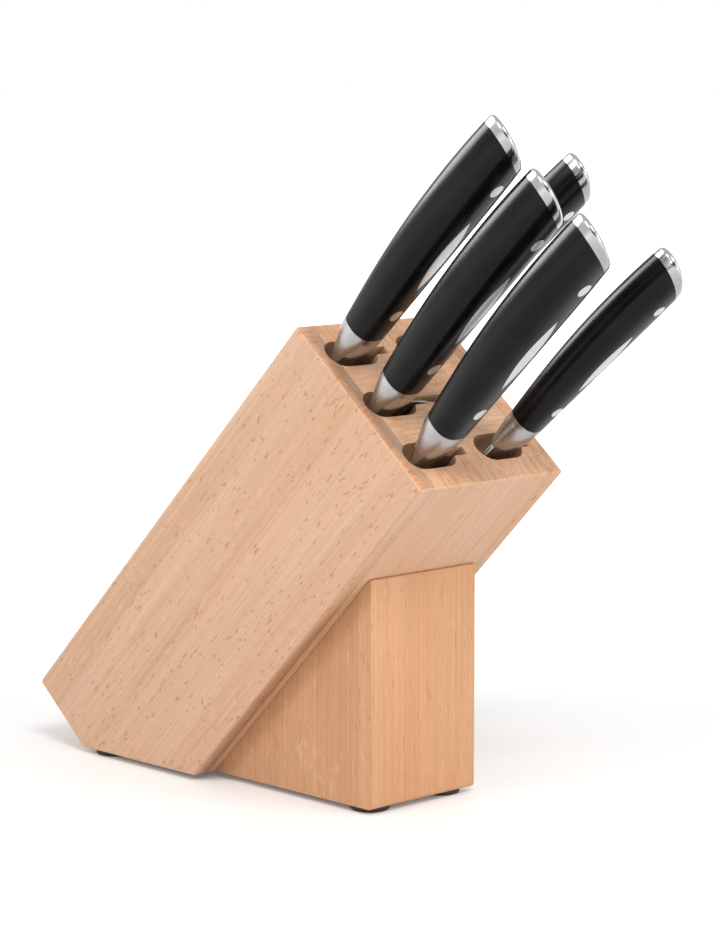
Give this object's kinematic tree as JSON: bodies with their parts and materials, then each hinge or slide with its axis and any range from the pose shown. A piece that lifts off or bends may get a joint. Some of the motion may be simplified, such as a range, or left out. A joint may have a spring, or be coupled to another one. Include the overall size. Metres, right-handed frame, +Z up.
{
  "type": "knife block",
  "caption": "Leaning wooden knife block on a wedge-shaped support, with kitchen knives that slide out of slots in its upper end.",
  "frame": {"origin": "under the middle of the whole object's box, on the surface it stands on", "axes": "+Z up, +X the way the block leans and the knives pull out, +Y towards the blades' edges"},
  "size_m": [0.34, 0.0889, 0.2955],
  "materials": {
    "beech": "oiled, fine grain",
    "beech_side": "oiled, fine grain along the lean",
    "beech_support": "oiled, upright grain",
    "rubber": "matte",
    "forged_steel": "brushed",
    "satin_steel": "satin",
    "polished_steel": "polished",
    "grip_black": "satin"
  },
  "bodies": {
    "block": {"left_side_board": "beech_side", "right_side_board": "beech_side", "core_board_bottom": "beech", "core_board_lower": "beech", "core_board_upper": "beech", "core_board_top": "beech", "support": "beech_support", "support_dowels": "beech", "front_left_foot": "rubber", "front_right_foot": "rubber", "rear_left_foot": "rubber", "rear_right_foot": "rubber"},
    "bread_knife": {"bread_blade": "forged_steel", "bread_grip": "grip_black", "bread_rivets": "satin_steel", "bread_inlays": "satin_steel", "bread_end_cap": "polished_steel"},
    "chef_knife": {"chef_blade": "forged_steel", "chef_grip": "grip_black", "chef_rivets": "satin_steel", "chef_inlays": "satin_steel", "chef_end_cap": "polished_steel"},
    "carving_knife": {"carving_blade": "forged_steel", "carving_grip": "grip_black", "carving_rivets": "satin_steel", "carving_inlays": "satin_steel", "carving_end_cap": "polished_steel"},
    "utility_knife": {"utility_blade": "forged_steel", "utility_grip": "grip_black", "utility_rivets": "satin_steel", "utility_inlays": "satin_steel", "utility_end_cap": "polished_steel"},
    "paring_knife": {"paring_blade": "forged_steel", "paring_grip": "grip_black", "paring_rivets": "satin_steel", "paring_inlays": "satin_steel", "paring_end_cap": "polished_steel"}
  },
  "joints": [
    {"name": "bread_knife_slide", "type": "slide", "parent": "block", "child": "bread_knife", "axis": [0.7071, 0, 0.7071], "range_m": [0, 0.235]},
    {"name": "chef_knife_slide", "type": "slide", "parent": "block", "child": "chef_knife", "axis": [0.7071, 0, 0.7071], "range_m": [0, 0.23]},
    {"name": "carving_knife_slide", "type": "slide", "parent": "block", "child": "carving_knife", "axis": [0.707, -0.0175, 0.707], "range_m": [0, 0.208]},
    {"name": "utility_knife_slide", "type": "slide", "parent": "block", "child": "utility_knife", "axis": [0.7026, 0.1132, 0.7026], "range_m": [0, 0.142]},
    {"name": "paring_knife_slide", "type": "slide", "parent": "block", "child": "paring_knife", "axis": [0.7011, 0.1305, 0.7011], "range_m": [0, 0.118]}
  ]
}
